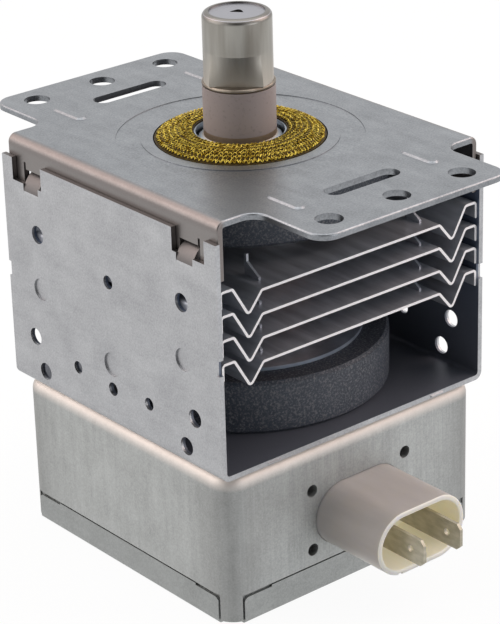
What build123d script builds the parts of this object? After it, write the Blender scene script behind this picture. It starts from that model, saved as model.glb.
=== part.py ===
from build123d import *
import os
from math import cos, radians, sin, sqrt

# An air-cooled magnetron: a sealed copper tube between two ring magnets, held in a folded steel
# yoke, with cooling fins on the tube, a filter box below and an antenna above.
#
# Frame: the origin is on the antenna axis, in the plane of the mounting plate's top face.
# +Z points up along the antenna, -Y points to the side with the terminals, and cooling air
# blows through the yoke along Y. Lengths are in millimetres.

os.makedirs("parts", exist_ok=True)

# General clearances
slide_gap = 0.1       # between sheet parts that nest
fit_gap = 0.05        # round parts that are pressed or brazed together

# Yoke: a U of galvanised sheet, open to the front and to the back
yoke_width = 77.4
yoke_depth = 76.0
yoke_sheet = 1.2
yoke_top = -4.5
yoke_bottom = -59.65
yoke_bend = 2.0
neck_passage = 11.0   # radius of the holes that the tube's necks pass through

# Mounting plate: flat top, two flanges bent down inside the yoke, two ears past its ends
plate_sheet = 1.4
plate_length = 74.4
plate_bend = 2.0
flange_drop = 13.3
ear_inset = 8.3       # from the edge of the plate's flat to the side of each ear
ear_reach = 58.1
ear_corner = 4.6
ear_root = 4.0
edge_roll = 0.45      # rounding that the blanking die leaves along the top edge
plate_bore = 19.6
coined_inner = 22.4
coined_outer = 28.0
coined_depth = 0.15
ear_hole = 3.05
ear_hole_x = 19.0
ear_hole_y = 51.2
slot_length = 20.4
slot_width = 4.8
slot_y = 40.4
bead_x = 19.2
bead_inner = 32.6
bead_outer = 43.4
bead_width = 3.2
bead_height = 0.35
bead_flank = 55.0

# Locking tabs: the yoke's walls are pushed in below notches of the plate's flanges
tab_y = 27.5
tab_width = 5.5
tab_root = -12.2
tab_radius = 5.5
tab_turn = 70.0
window_inner = 23.4
window_outer = 34.2
window_floor = -9.8
notch_inner = 24.6
notch_outer = 31.4
notch_top = -6.85
slit_width = 0.7
slit_top = -5.2

# Holes in each side wall of the yoke, as (y, z, radius), and mirrored to minus y
wall_holes = [(25.9, -21.0, 2.15), (29.1, -47.2, 2.1), (25.9, -55.0, 2.1), (13.0, -49.5, 1.5)]
centre_holes = [(0.0, -24.5, 1.6), (0.0, -50.4, 1.6)]
wall_dimples = [(25.8, -34.4, 2.65), (-25.8, -34.4, 2.65), (0.0, -44.4, 2.85)]
dimple_depth = 0.45
nick_z = -32.6
nick_height = 3.6
nick_depth = 0.8
nub_x = 24.3
nub_width = 3.9
nub_reach = 0.5

# Ring magnets
magnet_clearance = 3.0    # from the mounting plate's flanges to the magnets
magnet_bore = 11.0
magnet_height = 12.5
magnet_edge = 0.7

# Sealed tube
seat_inset = 6.0      # from the magnet's rim to the disc's
seat_sheet = 0.8
seal_sheet = 0.7
seal_flange = 18.6
neck_radius = 9.4
neck_shoulder = -0.1
anode_radius = 19.3
anode_bore = 16.8
pole_radius = 18.9
pole_sheet = 2.0
pole_tip = 8.6        # radius of the flat round the pole's hole
pole_tip_sheet = 1.6
pole_hole = 4.8
pole_gap = 11.8
cone_start = 16.0
vane_count = 10
vane_sheet = 1.9
vane_height = 9.5
vane_tip = 4.5
strap_inner = 6.6
strap_outer = 8.4
strap_width = 0.8
strap_height = 1.0
strap_groove = 1.6
strap_relief = 0.5
filament_radius = 1.9
filament_wire = 0.3
filament_pitch = 2.15
filament_height = 8.6
hat_sheet = 1.2
upper_hat_radius = 3.6
lower_hat_radius = 4.0
lead_radius = 0.75
side_lead_x = 2.7

# Output side: ceramic, exhaust tube and cap round the antenna lead
ceramic_radius = 8.2
ceramic_wall = 1.9
ceramic_bottom = 2.0
ceramic_top = 12.25
ring_radius = 8.3
ring_round = 0.5
exhaust_radius = 4.2
exhaust_wall = 1.0
pinch_start = 19.0
pinch_top = 26.0
pinch_sheet = 1.8
cap_radius = 7.8
cap_sheet = 0.45
cap_top = 28.95
cap_edge = 1.2
cap_recess = 0.35
cap_rim = 1.5
crimp_top = 20.5
crimp_half = 6.05     # half the side of the square that the mouth is pressed to
crimp_bow = 1.75      # how far two of its sides still stand out
crimp_turn = -45.0    # direction in which those two sides look
vent_tip = (-1.3, 1.2)
vent_corner = (0.8, -1.4)
vent_back = (2.0, 1.3)
vent_round = 0.2
vent_back_round = 0.8
antenna_wire = 0.9
antenna_hole = 1.8    # radius of the hole that lets the antenna lead through its pole piece
antenna_root = 11.0
antenna_bend = 2.0

# Radio-frequency gasket, knitted from fine wire, and the ring that holds it
gasket_gap = 0.3
gasket_lip = 1.5      # height of the gasket's inner edge
gasket_crown = 1.1
gasket_rows = 5
row_depth = 0.35
holder_radius = 10.4
holder_sheet = 0.35
holder_foot = 14.0
holder_top = 1.2

# Cooling fins
fin_sheet = 0.6
fin_count = 4
fin_first = -18.3
fin_last = -34.9
fin_setback = 0.7
fold_inset = 11.2     # from the lip at the wall to the first fold, beside the flat middle
valley_inset = 7.4
valley_drop = 4.6
shoulder_inset = 3.2
shoulder_rise = 2.45
lip_drop = 3.5
fin_bend = 0.7
collar_height = 1.6
lance_inset = 2.5
lance_front = 33.6
lance_back = 29.0
lance_finger = 0.7
lance_height = 4.9
lance_slope = 3.2

# Filter box and its lid
box_width = 75.1
box_sheet = 0.8
box_corner = 5.7
box_edge = 3.5
lid_sheet = 0.7
lid_bottom = -96.55
lid_seam = -89.65
seam_gap = 0.35       # dark line between the lid's flanges and the box
seam_step = 0.45
seam_step_at = 25.5
lid_bend = 0.9
lid_notch = 4.2       # side of the square cut from each corner of the lid's blank
flange_corner = 1.2   # rounding of each flange's upper corners

# Terminal connector and feed-through capacitor
connector_x = 0.8     # the connector sits a little to the right of the antenna axis
connector_z = -78.8
shroud_width = 25.8
shroud_height = 15.2
shroud_reach = 58.0
shroud_wall = 1.2
shroud_floor = 43.0
shroud_collar = 1.4
collar_lap = 1.1
key_x = -6.4          # from the connector's middle
key_width = 1.3
key_depth = 0.6
rim_round = 0.35
blade_x = 5.5         # from the connector's middle
blade_width = 6.3
blade_sheet = 0.8
blade_tip = 64.8
blade_inner_end = 18.5
blade_chamfer = 1.1
blade_hole = 0.85
blade_hole_inset = 4.2
burr_x = 14.0         # from the connector's middle
burr_z = 7.4
burr_rise = 0.7       # of the four burrs above the connector's middle
burr_bore = 1.48
burr_wall = 0.6
burr_length = 2.4
capacitor_width = 21.0
capacitor_height = 12.0
capacitor_depth = 12.0
capacitor_plate = 0.8
capacitor_plate_width = 36.0
capacitor_plate_height = 22.0

# Choke coils on ferrite cores, inside the filter box
choke_x = 13.0
choke_front = -12.0
choke_pitch = 3.9
choke_turns = 4.75    # a quarter turn short, so that the rear lead leaves upwards
choke_radius = 3.5
choke_wire = 1.0      # thickness of the winding wire
bare_wire = 0.8       # thickness of its leads, where the enamel is scraped off
core_gap = 0.15
core_overhang = 1.5
choke_lead_bend = 1.1

# Stem: ceramic disc that closes the tube inside the filter box, with two terminal strips
stem_top = -61.5
stem_bottom = -69.0
strip_sheet = 0.6
strip_width = 4.0
strip_length = 8.0
strip_gap = 0.3

# Worked-out levels and half sizes
yoke_half = yoke_width / 2
yoke_inner = yoke_half - yoke_sheet
yoke_floor = yoke_bottom + yoke_sheet
plate_half = yoke_inner - slide_gap
plate_flat = plate_half - plate_bend
ear_width = 2 * (plate_flat - ear_inset)
magnet_radius = plate_half - plate_sheet - magnet_clearance
seat_radius = magnet_radius - seat_inset
plate_under = -plate_sheet
upper_magnet_bottom = plate_under - magnet_height
lower_magnet_top = yoke_floor + magnet_height
seat_top = lower_magnet_top + seat_sheet
upper_pole_top = upper_magnet_bottom - seal_sheet
lower_pole_bottom = seat_top + seal_sheet
anode_top = upper_pole_top - pole_sheet
anode_bottom = lower_pole_bottom + pole_sheet
anode_middle = (anode_top + anode_bottom) / 2
neck_bore = neck_radius - seal_sheet
box_half = box_width / 2
flange_span = box_width - 2 * lid_notch
box_top = yoke_bottom
left_blade_x = connector_x - blade_x
right_blade_x = connector_x + blade_x
fin_half_depth = yoke_depth / 2 - fin_setback
fin_pitch = (fin_first - fin_last) / (fin_count - 1)


def ring_profile(points):
    """A closed outline of (radius, height) points, in the plane that a turned part is spun from."""
    with BuildSketch(Plane.XZ) as outline:
        with BuildLine():
            Polyline(*points, close=True)
        make_face()
    return outline.sketch


def mirrored_rows(rows):
    """The given (y, z, radius) rows and their mirror images across the XZ plane."""
    return rows + [(-y, z, radius) for y, z, radius in rows]


def is_outer(edge):
    """Whether an edge of the mounting plate's end outline lies on the upper, outer side."""
    middle = edge @ 0.5
    on_top = abs(middle.Z) < fit_gap
    on_flange = abs(abs(middle.X) - plate_half) < fit_gap
    corner_x = abs(middle.X) - plate_flat
    corner_z = middle.Z + plate_bend
    on_bend = corner_x > 0 and abs(sqrt(corner_x ** 2 + corner_z ** 2) - plate_bend) < fit_gap
    return on_top or on_flange or on_bend


# Mounting plate: a bent-down sheet with an ear at each end
with BuildPart() as mounting_plate:
    with BuildSketch(Plane.XZ) as section:
        with Locations((0, -flange_drop)):
            Rectangle(2 * plate_half, flange_drop, align=(Align.CENTER, Align.MIN))
        fillet(section.vertices().group_by(Axis.Y)[-1], plate_bend)
        with Locations((0, -flange_drop)):
            Rectangle(
                2 * (plate_half - plate_sheet), flange_drop - plate_sheet,
                align=(Align.CENTER, Align.MIN), mode=Mode.SUBTRACT,
            )
    extrude(amount=plate_length / 2, both=True)
    with BuildSketch() as outline:
        Rectangle(2 * plate_flat, plate_length)
        Rectangle(ear_width, 2 * ear_reach)
        root_corners = [
            corner for corner in outline.vertices()
            if abs(corner.X) < plate_flat - fit_gap and abs(corner.Y) < ear_reach - fit_gap
        ]
        fillet(root_corners, ear_root)
        fillet(outline.vertices().group_by(Axis.Y)[0], ear_corner)
        fillet(outline.vertices().group_by(Axis.Y)[-1], ear_corner)
    extrude(amount=-plate_sheet)
    inner_bends = [
        edge for edge in mounting_plate.edges().filter_by(Axis.Y)
        if abs(edge.center().Z - plate_under) < fit_gap and edge.length > plate_length - slide_gap
    ]
    fillet(inner_bends, plate_bend - plate_sheet)
    rim = [
        edge for edge in mounting_plate.edges()
        if abs(edge.center().Y) > plate_length / 2 - fit_gap and is_outer(edge)
    ]
    fillet(rim, edge_roll)
    with BuildSketch():
        Circle(coined_outer)
        Circle(coined_inner, mode=Mode.SUBTRACT)
    extrude(amount=-coined_depth, mode=Mode.SUBTRACT)
    bead_centres = [
        (side * bead_x, end * (bead_inner + bead_outer) / 2) for side in (-1, 1) for end in (-1, 1)
    ]
    with BuildSketch():
        with Locations(*bead_centres):
            SlotOverall(bead_outer - bead_inner, bead_width, rotation=90)
    extrude(amount=bead_height, taper=bead_flank)
    with BuildSketch(Plane.XY.offset(plate_under)):
        with Locations(*bead_centres):
            SlotOverall(bead_outer - bead_inner, bead_width, rotation=90)
    extrude(amount=bead_height, taper=bead_flank, mode=Mode.SUBTRACT)
    with BuildSketch():
        Circle(plate_bore)
        with GridLocations(ear_hole_x, 2 * ear_hole_y, 3, 2):
            Circle(ear_hole)
        with GridLocations(1, 2 * slot_y, 1, 2):
            SlotOverall(slot_length, slot_width)
    extrude(amount=-plate_sheet, mode=Mode.SUBTRACT)
    with BuildSketch(Plane.YZ):
        for end in (-1, 1):
            notch_drop = flange_drop + notch_top
            with Locations((end * (notch_inner + notch_outer) / 2, -flange_drop)):
                Rectangle(
                    notch_outer - notch_inner, notch_drop, align=(Align.CENTER, Align.MIN)
                )
            with Locations((end * (notch_outer - slit_width / 2), notch_top)):
                Rectangle(slit_width, slit_top - notch_top, align=(Align.CENTER, Align.MIN))
    extrude(amount=plate_half, both=True, mode=Mode.SUBTRACT)
mounting_plate.part.label = "mounting_plate"
export_step(mounting_plate.part, "parts/mounting_plate.step")

# Yoke: the U, with windows and locking tabs at the top of its walls
with BuildPart() as yoke_frame:
    with BuildSketch(Plane.XZ) as section:
        with Locations((0, yoke_bottom)):
            Rectangle(yoke_width, yoke_top - yoke_bottom, align=(Align.CENTER, Align.MIN))
        fillet(section.vertices().group_by(Axis.Y)[0], yoke_bend)
    extrude(amount=yoke_depth / 2, both=True)
    with BuildSketch(Plane.XZ) as hollow:
        with Locations((0, yoke_floor)):
            Rectangle(2 * yoke_inner, yoke_top - yoke_floor, align=(Align.CENTER, Align.MIN))
        fillet(hollow.vertices().group_by(Axis.Y)[0], yoke_bend - yoke_sheet)
    extrude(amount=yoke_depth / 2, both=True, mode=Mode.SUBTRACT)
    with BuildSketch(Plane.XY.offset(yoke_bottom)):
        Circle(neck_passage)
    extrude(amount=yoke_sheet, mode=Mode.SUBTRACT)
    with BuildSketch(Plane.YZ):
        for end in (-1, 1):
            with Locations((end * (window_inner + window_outer) / 2, window_floor)):
                Rectangle(
                    window_outer - window_inner, yoke_top - window_floor,
                    align=(Align.CENTER, Align.MIN),
                )
            with Locations((end * tab_y, tab_root)):
                Rectangle(tab_width, yoke_top - tab_root, align=(Align.CENTER, Align.MIN))
            with Locations((end * yoke_depth / 2, nick_z)):
                Rectangle(2 * nick_depth, nick_height)
        for y, z, radius in mirrored_rows(wall_holes) + centre_holes:
            with Locations((y, z)):
                Circle(radius)
    extrude(amount=yoke_half, both=True, mode=Mode.SUBTRACT)
    for side in (-1, 1):
        with BuildSketch(Plane.YZ.offset(side * yoke_half)):
            for y, z, radius in wall_dimples:
                with Locations((y, z)):
                    Circle(radius)
        extrude(amount=-side * dimple_depth, mode=Mode.SUBTRACT)
    bend_x = yoke_half - tab_radius
    for side in (-1, 1):
        for end in (-1, 1):
            with BuildSketch(Plane.XZ.offset(-end * tab_y)):
                with BuildLine():
                    centre = (side * bend_x, tab_root)
                    outer = CenterArc(centre, tab_radius, 90 - side * 90, side * tab_turn)
                    inner = CenterArc(
                        centre, tab_radius - yoke_sheet, 90 - side * 90, side * tab_turn
                    )
                    Line(outer @ 0, inner @ 0)
                    Line(outer @ 1, inner @ 1)
                make_face()
            extrude(amount=tab_width / 2, both=True)
    with BuildSketch(Plane.XZ.offset(yoke_depth / 2)):
        with Locations((-nub_x, yoke_bottom + yoke_sheet / 2), (nub_x, yoke_bottom + yoke_sheet / 2)):
            Rectangle(nub_width, yoke_sheet / 2)
    extrude(amount=nub_reach, taper=bead_flank / 2)
yoke_frame.part.label = "yoke_frame"
export_step(yoke_frame.part, "parts/yoke_frame.step")

# Ring magnets, pressed from ferrite powder, with a small chamfer on every edge
magnet_levels = {"upper_magnet": upper_magnet_bottom, "lower_magnet": yoke_floor}
for magnet_name, level in magnet_levels.items():
    with BuildPart() as magnet:
        with BuildSketch(Plane.XY.offset(level)):
            Circle(magnet_radius)
            Circle(magnet_bore, mode=Mode.SUBTRACT)
        extrude(amount=magnet_height)
        chamfer(magnet.edges().filter_by(GeomType.CIRCLE), magnet_edge)
    magnet.part.label = magnet_name
    export_step(magnet.part, f"parts/{magnet_name}.step")

# Seating disc between the lower magnet and the tube
with BuildPart() as seat_disc:
    with BuildSketch(Plane.XY.offset(lower_magnet_top)):
        Circle(seat_radius)
        Circle(neck_passage, mode=Mode.SUBTRACT)
    extrude(amount=seat_sheet)
seat_disc.part.label = "seat_disc"
export_step(seat_disc.part, "parts/seat_disc.step")

# Anode: a copper cylinder with vanes brazed to its wall
with BuildPart() as anode_cylinder:
    with BuildSketch(Plane.XY.offset(anode_bottom)):
        Circle(anode_radius)
        Circle(anode_bore, mode=Mode.SUBTRACT)
    extrude(amount=anode_top - anode_bottom)
anode_cylinder.part.label = "anode_cylinder"
export_step(anode_cylinder.part, "parts/anode_cylinder.step")

# Each vane has a groove for the strap rings at both edges. The straps touch every second vane,
# so the groove's floor is deeper under the strap that must not touch.
vane_root = sqrt((anode_bore - fit_gap) ** 2 - (vane_sheet / 2) ** 2)
groove_inner = strap_inner - strap_width
groove_outer = strap_outer + 2 * strap_width
groove_middle = (strap_inner + strap_width + strap_outer) / 2
vane_outlines = []
for inner_depth, outer_depth in ((0, strap_relief), (strap_relief, 0)):
    half = vane_height / 2
    inner_floor = half - strap_groove - inner_depth
    outer_floor = half - strap_groove - outer_depth
    upper_half = [
        (vane_root, half), (groove_outer, half), (groove_outer, outer_floor),
        (groove_middle, outer_floor), (groove_middle, inner_floor), (groove_inner, inner_floor),
        (groove_inner, half), (vane_tip, half),
    ]
    lower_half = [(radius, -height) for radius, height in reversed(upper_half)]
    vane_outlines.append(upper_half + lower_half)
with BuildPart() as anode_vanes:
    for index in range(vane_count):
        turn = 360 / vane_count * index
        vane_plane = Plane(
            origin=(0, 0, anode_middle), x_dir=(cos(radians(turn)), sin(radians(turn)), 0),
            z_dir=(sin(radians(turn)), -cos(radians(turn)), 0),
        )
        with BuildSketch(vane_plane):
            with BuildLine():
                Polyline(*vane_outlines[index % 2], close=True)
            make_face()
        extrude(amount=vane_sheet / 2, both=True)
anode_vanes.part.label = "anode_vanes"
export_step(anode_vanes.part, "parts/anode_vanes.step")

# Strap rings: two at each edge of the vanes
strap_offset = vane_height / 2 - strap_groove
strap_levels = {
    "upper": anode_middle + strap_offset, "lower": anode_middle - strap_offset - strap_height,
}
for side_name, level in strap_levels.items():
    for place_name, radius in (("inner", strap_inner), ("outer", strap_outer)):
        with BuildPart() as strap:
            with BuildSketch(Plane.XY.offset(level)):
                Circle(radius + strap_width)
                Circle(radius, mode=Mode.SUBTRACT)
            extrude(amount=strap_height)
        strap_name = f"{side_name}_{place_name}_strap"
        strap.part.label = strap_name
        export_step(strap.part, f"parts/{strap_name}.step")


def pole_points(face, tip, sign):
    """Outline of a funnel-shaped pole piece: flange face, tip level, and the side it dips to."""
    back = face + sign * pole_sheet
    tip_back = tip - sign * pole_tip_sheet
    return [
        (pole_radius, face), (cone_start, face), (pole_tip, tip_back), (pole_hole, tip_back),
        (pole_hole, tip), (pole_tip, tip), (cone_start, back), (pole_radius, back),
    ]


# Pole pieces: iron funnels that carry the magnets' field to the gap between the vane tips
with BuildPart() as upper_pole_piece:
    add(ring_profile(pole_points(upper_pole_top, anode_middle + pole_gap / 2, -1)))
    revolve(axis=Axis.Z)
    with BuildSketch(Plane.XY.offset(upper_pole_top)):
        with Locations((antenna_root, 0)):
            Circle(antenna_hole)
    extrude(amount=anode_middle - upper_pole_top, mode=Mode.SUBTRACT)
upper_pole_piece.part.label = "upper_pole_piece"
export_step(upper_pole_piece.part, "parts/upper_pole_piece.step")

with BuildPart() as lower_pole_piece:
    add(ring_profile(pole_points(lower_pole_bottom, anode_middle - pole_gap / 2, 1)))
    revolve(axis=Axis.Z)
lower_pole_piece.part.label = "lower_pole_piece"
export_step(lower_pole_piece.part, "parts/lower_pole_piece.step")

# Seal cones: thin metal necks that pass through the magnets and carry the ceramics
throat_bore = ceramic_radius - seal_sheet
with BuildPart() as output_seal_cone:
    add(ring_profile([
        (seal_flange, upper_pole_top), (seal_flange, upper_magnet_bottom),
        (neck_radius + seal_sheet, upper_magnet_bottom),
        (neck_radius, upper_magnet_bottom + seal_sheet), (neck_radius, neck_shoulder),
        (ceramic_radius, neck_shoulder + seal_sheet), (ceramic_radius, ceramic_bottom),
        (throat_bore, ceramic_bottom), (throat_bore, neck_shoulder),
        (neck_bore, neck_shoulder - seal_sheet), (neck_bore, upper_magnet_bottom + seal_sheet),
        (neck_radius, upper_pole_top),
    ]))
    revolve(axis=Axis.Z)
output_seal_cone.part.label = "output_seal_cone"
export_step(output_seal_cone.part, "parts/output_seal_cone.step")

with BuildPart() as input_seal_cone:
    add(ring_profile([
        (seal_flange, lower_pole_bottom), (seal_flange, seat_top),
        (neck_radius + seal_sheet, seat_top), (neck_radius, seat_top - seal_sheet),
        (neck_radius, stem_top), (neck_bore, stem_top), (neck_bore, seat_top - seal_sheet),
        (neck_radius, lower_pole_bottom),
    ]))
    revolve(axis=Axis.Z)
input_seal_cone.part.label = "input_seal_cone"
export_step(input_seal_cone.part, "parts/input_seal_cone.step")

# Cathode: a coiled filament between two end hats, on two straight leads from the stem
coil_bottom = anode_middle - filament_height / 2
with BuildPart() as filament_coil:
    with BuildLine() as coil_path:
        Helix(filament_pitch, filament_height, filament_radius, center=(0, 0, coil_bottom))
    with BuildSketch(Plane(origin=coil_path.line @ 0, z_dir=coil_path.line % 0)):
        Rectangle(2 * filament_wire, 2 * filament_wire)
    sweep(path=coil_path.line, is_frenet=True)
filament_coil.part.label = "filament_coil"
export_step(filament_coil.part, "parts/filament_coil.step")

hat_offset = filament_height / 2 + filament_wire + fit_gap
with BuildPart() as upper_end_hat:
    with BuildSketch(Plane.XY.offset(anode_middle + hat_offset)):
        Circle(upper_hat_radius)
        Circle(lead_radius + fit_gap, mode=Mode.SUBTRACT)
    extrude(amount=hat_sheet)
upper_end_hat.part.label = "upper_end_hat"
export_step(upper_end_hat.part, "parts/upper_end_hat.step")

with BuildPart() as lower_end_hat:
    with BuildSketch(Plane.XY.offset(anode_middle - hat_offset)):
        Circle(lower_hat_radius)
        Circle(lead_radius + 2 * slide_gap, mode=Mode.SUBTRACT)
    extrude(amount=-hat_sheet)
lower_end_hat.part.label = "lower_end_hat"
export_step(lower_end_hat.part, "parts/lower_end_hat.step")

lead_end = stem_bottom - 2 * strip_sheet
lead_tops = {
    "centre_lead": (0, anode_middle + hat_offset + hat_sheet),
    "side_lead": (side_lead_x, anode_middle - hat_offset - hat_sheet),
}
for lead_name, (lead_x, lead_top) in lead_tops.items():
    with BuildPart() as lead:
        with BuildSketch(Plane.XY.offset(lead_end)):
            with Locations((lead_x, 0)):
                Circle(lead_radius)
        extrude(amount=lead_top - lead_end)
    lead.part.label = lead_name
    export_step(lead.part, f"parts/{lead_name}.step")

# Stem: the ceramic that closes the tube below, with a hole for each lead
with BuildPart() as input_ceramic:
    with BuildSketch(Plane.XY.offset(stem_bottom)):
        Circle(neck_radius)
        with Locations((0, 0), (side_lead_x, 0)):
            Circle(lead_radius + fit_gap, mode=Mode.SUBTRACT)
    extrude(amount=stem_top - stem_bottom)
input_ceramic.part.label = "input_ceramic"
export_step(input_ceramic.part, "parts/input_ceramic.step")

strip_split = side_lead_x / 2
strips = {
    "centre_strip": (0, strip_split - strip_gap - strip_length, strip_split - strip_gap),
    "side_strip": (side_lead_x, strip_split + strip_gap, strip_split + strip_gap + strip_length),
}
for strip_name, (lead_x, strip_low, strip_high) in strips.items():
    with BuildPart() as strip:
        with BuildSketch(Plane.XY.offset(stem_bottom)):
            with Locations(((strip_low + strip_high) / 2, 0)):
                RectangleRounded(strip_length, strip_width, lead_radius)
            with Locations((lead_x, 0)):
                Circle(lead_radius + fit_gap, mode=Mode.SUBTRACT)
        extrude(amount=-strip_sheet)
    strip.part.label = strip_name
    export_step(strip.part, f"parts/{strip_name}.step")

# Output ceramic: an alumina tube that insulates the antenna
with BuildPart() as output_ceramic:
    with BuildSketch(Plane.XY.offset(ceramic_bottom)):
        Circle(ceramic_radius)
        Circle(ceramic_radius - ceramic_wall, mode=Mode.SUBTRACT)
    extrude(amount=ceramic_top - ceramic_bottom)
output_ceramic.part.label = "output_ceramic"
export_step(output_ceramic.part, "parts/output_ceramic.step")

# Exhaust tube: a brazed flange with a rolled rim, and a tube that is pinched shut at its top
with BuildPart() as exhaust_tube:
    with BuildSketch(Plane.XZ):
        with BuildLine():
            bottom = Line(
                (exhaust_radius - exhaust_wall, ceramic_top), (ring_radius - ring_round, ceramic_top)
            )
            rim_arc = ThreePointArc(
                bottom @ 1, (ring_radius, ceramic_top + ring_round),
                (ring_radius - ring_round, ceramic_top + 2 * ring_round),
            )
            Polyline(
                rim_arc @ 1, (exhaust_radius, ceramic_top + 2 * ring_round),
                (exhaust_radius, pinch_start), (exhaust_radius - exhaust_wall, pinch_start),
                bottom @ 0,
            )
        make_face()
    revolve(axis=Axis.Z)
    with BuildSketch(Plane.XY.offset(pinch_start)):
        Circle(exhaust_radius)
    extrude(amount=pinch_top - pinch_start)
    with BuildSketch(Plane.YZ):
        for side in (-1, 1):
            with BuildLine():
                Polyline(
                    (side * exhaust_radius, pinch_start), (side * exhaust_radius, pinch_top),
                    (side * pinch_sheet / 2, pinch_top), close=True,
                )
            make_face()
    extrude(amount=exhaust_radius, both=True, mode=Mode.SUBTRACT)
exhaust_tube.part.label = "exhaust_tube"
export_step(exhaust_tube.part, "parts/exhaust_tube.step")

# Antenna lead: from one vane, through the pole piece, to the inside of the exhaust tube
lead_start = anode_middle + vane_height / 2
with BuildPart() as antenna_lead:
    with BuildLine() as lead_path:
        FilletPolyline(
            (antenna_root, 0, lead_start), (antenna_root, 0, upper_pole_top - 2 * pole_sheet),
            (0, 0, upper_magnet_bottom + neck_radius / 2), (0, 0, pinch_start),
            radius=antenna_bend,
        )
    with BuildSketch(Plane.XY.offset(lead_start)):
        with Locations((antenna_root, 0)):
            Circle(antenna_wire)
    sweep(path=lead_path.line)
antenna_lead.part.label = "antenna_lead"
export_step(antenna_lead.part, "parts/antenna_lead.step")

# Antenna cap: a drawn cup with a recessed top, crimped square at its mouth
ring_top = ceramic_top + 2 * ring_round
cap_inner = cap_radius - cap_sheet
recess_radius = cap_radius - cap_rim


def crimp_plane(level):
    """A level plane whose x axis looks the way that the bowed sides of the crimp do."""
    turn = radians(crimp_turn)
    return Plane(origin=(0, 0, level), x_dir=(cos(turn), sin(turn), 0), z_dir=(0, 0, 1))


def drum_outline(level, radius):
    """The round drum, as four quarter arcs that meet where the crimp has its corners."""
    corner = radius * sqrt(0.5)
    with BuildSketch(crimp_plane(level)) as outline:
        with BuildLine():
            ThreePointArc((corner, -corner), (radius, 0), (corner, corner))
            ThreePointArc((corner, corner), (0, radius), (-corner, corner))
            ThreePointArc((-corner, corner), (-radius, 0), (-corner, -corner))
            ThreePointArc((-corner, -corner), (0, -radius), (corner, -corner))
        make_face()
    return outline.sketch


def mouth_outline(level, corner):
    """The crimped mouth: two flat sides, and two that are bowed outwards."""
    with BuildSketch(crimp_plane(level)) as outline:
        with BuildLine():
            ThreePointArc((corner, -corner), (corner + crimp_bow, 0), (corner, corner))
            Line((corner, corner), (-corner, corner))
            ThreePointArc((-corner, corner), (-corner - crimp_bow, 0), (-corner, -corner))
            Line((-corner, -corner), (corner, -corner))
        make_face()
    return outline.sketch


with BuildPart() as antenna_cap:
    with BuildSketch(Plane.XZ):
        with BuildLine():
            wall = Line((cap_radius, crimp_top), (cap_radius, cap_top - cap_edge))
            shoulder = RadiusArc(wall @ 1, (cap_radius - cap_edge, cap_top), -cap_edge)
            Polyline(
                shoulder @ 1, (recess_radius, cap_top), (recess_radius, cap_top - cap_recess),
                (0, cap_top - cap_recess), (0, cap_top - cap_recess - cap_sheet),
                (cap_inner - cap_edge, cap_top - cap_recess - cap_sheet),
                (cap_inner, cap_top - cap_recess - cap_edge), (cap_inner, crimp_top), wall @ 0,
            )
        make_face()
    revolve(axis=Axis.Z)
    add(mouth_outline(ring_top, crimp_half))
    add(drum_outline(crimp_top, cap_radius))
    loft(ruled=True)
    add(mouth_outline(ring_top, crimp_half - cap_sheet))
    add(drum_outline(crimp_top, cap_inner))
    loft(ruled=True, mode=Mode.SUBTRACT)
    with BuildSketch(Plane.XY.offset(cap_top)) as vent:
        with BuildLine():
            Polyline(vent_tip, vent_corner, vent_back, close=True)
        make_face()
        fillet(vent.vertices().sort_by(Axis.X)[-1], vent_back_round)
        fillet(vent.vertices().sort_by(Axis.X)[0], vent_round)
    extrude(amount=-cap_recess - cap_sheet - slide_gap, mode=Mode.SUBTRACT)
antenna_cap.part.label = "antenna_cap"
export_step(antenna_cap.part, "parts/antenna_cap.step")

# Gasket holder: an upright collar round the neck, on a flat foot that lies on the magnet
holder_bore = holder_radius - holder_sheet
holder_floor = plate_under + holder_sheet
with BuildPart() as gasket_holder:
    add(ring_profile([
        (holder_bore, plate_under), (holder_foot, plate_under), (holder_foot, holder_floor),
        (holder_radius, holder_floor), (holder_radius, holder_top), (holder_bore, holder_top),
    ]))
    revolve(axis=Axis.Z)
gasket_holder.part.label = "gasket_holder"
export_step(gasket_holder.part, "parts/gasket_holder.step")

# Knitted gasket: a low crowned ring whose rows stand up as ridges
gasket_inner = holder_radius + fit_gap
gasket_outer = plate_bore - gasket_gap
crown_points = []
for index in range(2 * gasket_rows + 1):
    share = index / (2 * gasket_rows)
    crown = gasket_lip * (1 - share) + gasket_crown * (1 - (2 * share - 1) ** 2)
    crown_points.append((gasket_inner + share * (gasket_outer - gasket_inner), crown))
    if index % 2 == 1:
        crown_points[-1] = (crown_points[-1][0], crown - row_depth)
with BuildPart() as knitted_gasket:
    add(ring_profile(
        [(gasket_inner, holder_floor)] + crown_points
        + [(gasket_outer, plate_under + fit_gap), (holder_foot + fit_gap, plate_under + fit_gap),
           (holder_foot + fit_gap, holder_floor)]
    ))
    revolve(axis=Axis.Z)
knitted_gasket.part.label = "knitted_gasket"
export_step(knitted_gasket.part, "parts/knitted_gasket.step")

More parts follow.
